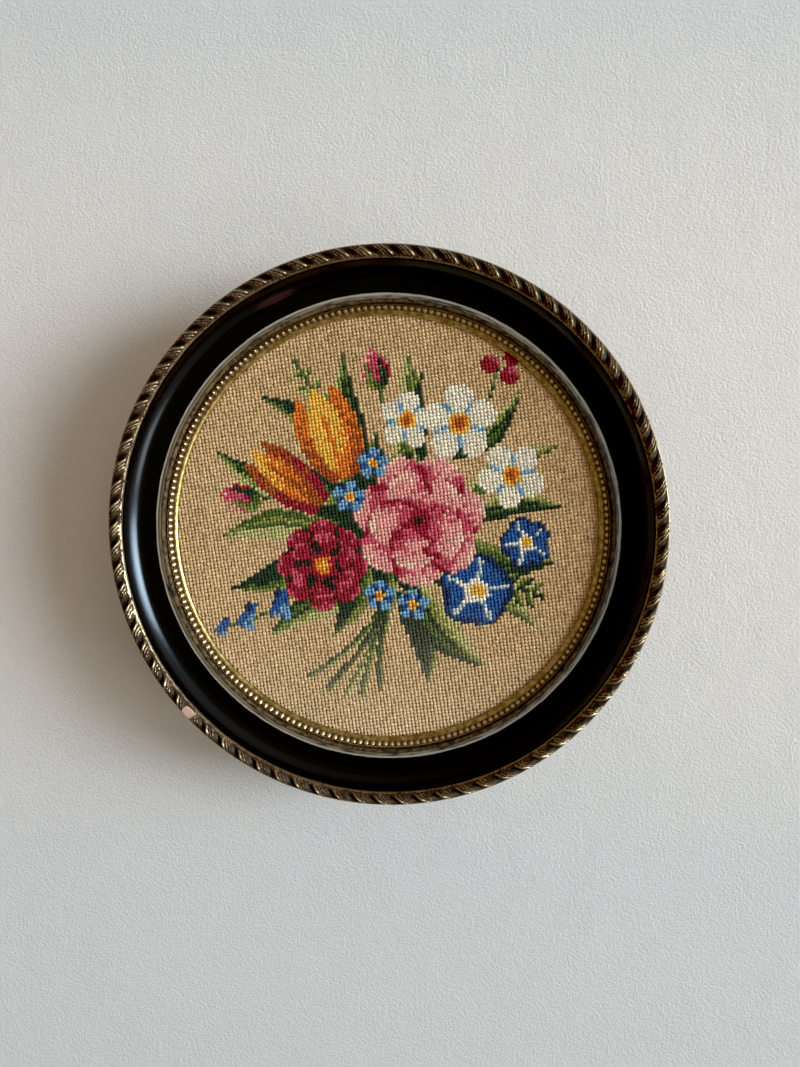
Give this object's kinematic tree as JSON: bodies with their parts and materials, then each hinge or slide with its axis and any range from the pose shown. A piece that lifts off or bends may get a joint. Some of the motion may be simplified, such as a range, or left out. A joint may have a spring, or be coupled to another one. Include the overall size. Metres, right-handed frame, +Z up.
{
  "type": "needlepoint embroidery in round frame",
  "caption": "Round needlepoint flower picture in a black turned frame with a gilt rope rim and a beaded brass slip, hung flat on a wall.",
  "frame": {"origin": "centre of the flat back, on the wall", "axes": "+Z up as it hangs, +Y into the wall along the frame's axis, so the picture faces -Y, +X to the viewer's right"},
  "size_m": [0.18, 0.0159, 0.18],
  "materials": {
    "board": "plain brown board, matte",
    "wool": "tent-stitched wool on canvas, sand ground with coloured flowers",
    "brass": "pressed brass, bright on the lip and the beads, dark between",
    "black_lacquer": "glossy black lacquer, with a worn silvered fillet at the inner edge",
    "gilt": "aged gilding, dark red-brown in the grooves"
  },
  "bodies": {
    "root": {"back_board": "board", "needlepoint_cloth": "wool", "beaded_slip": "brass", "frame_ring": "black_lacquer", "rope_rim": "gilt"}
  },
  "joints": []
}
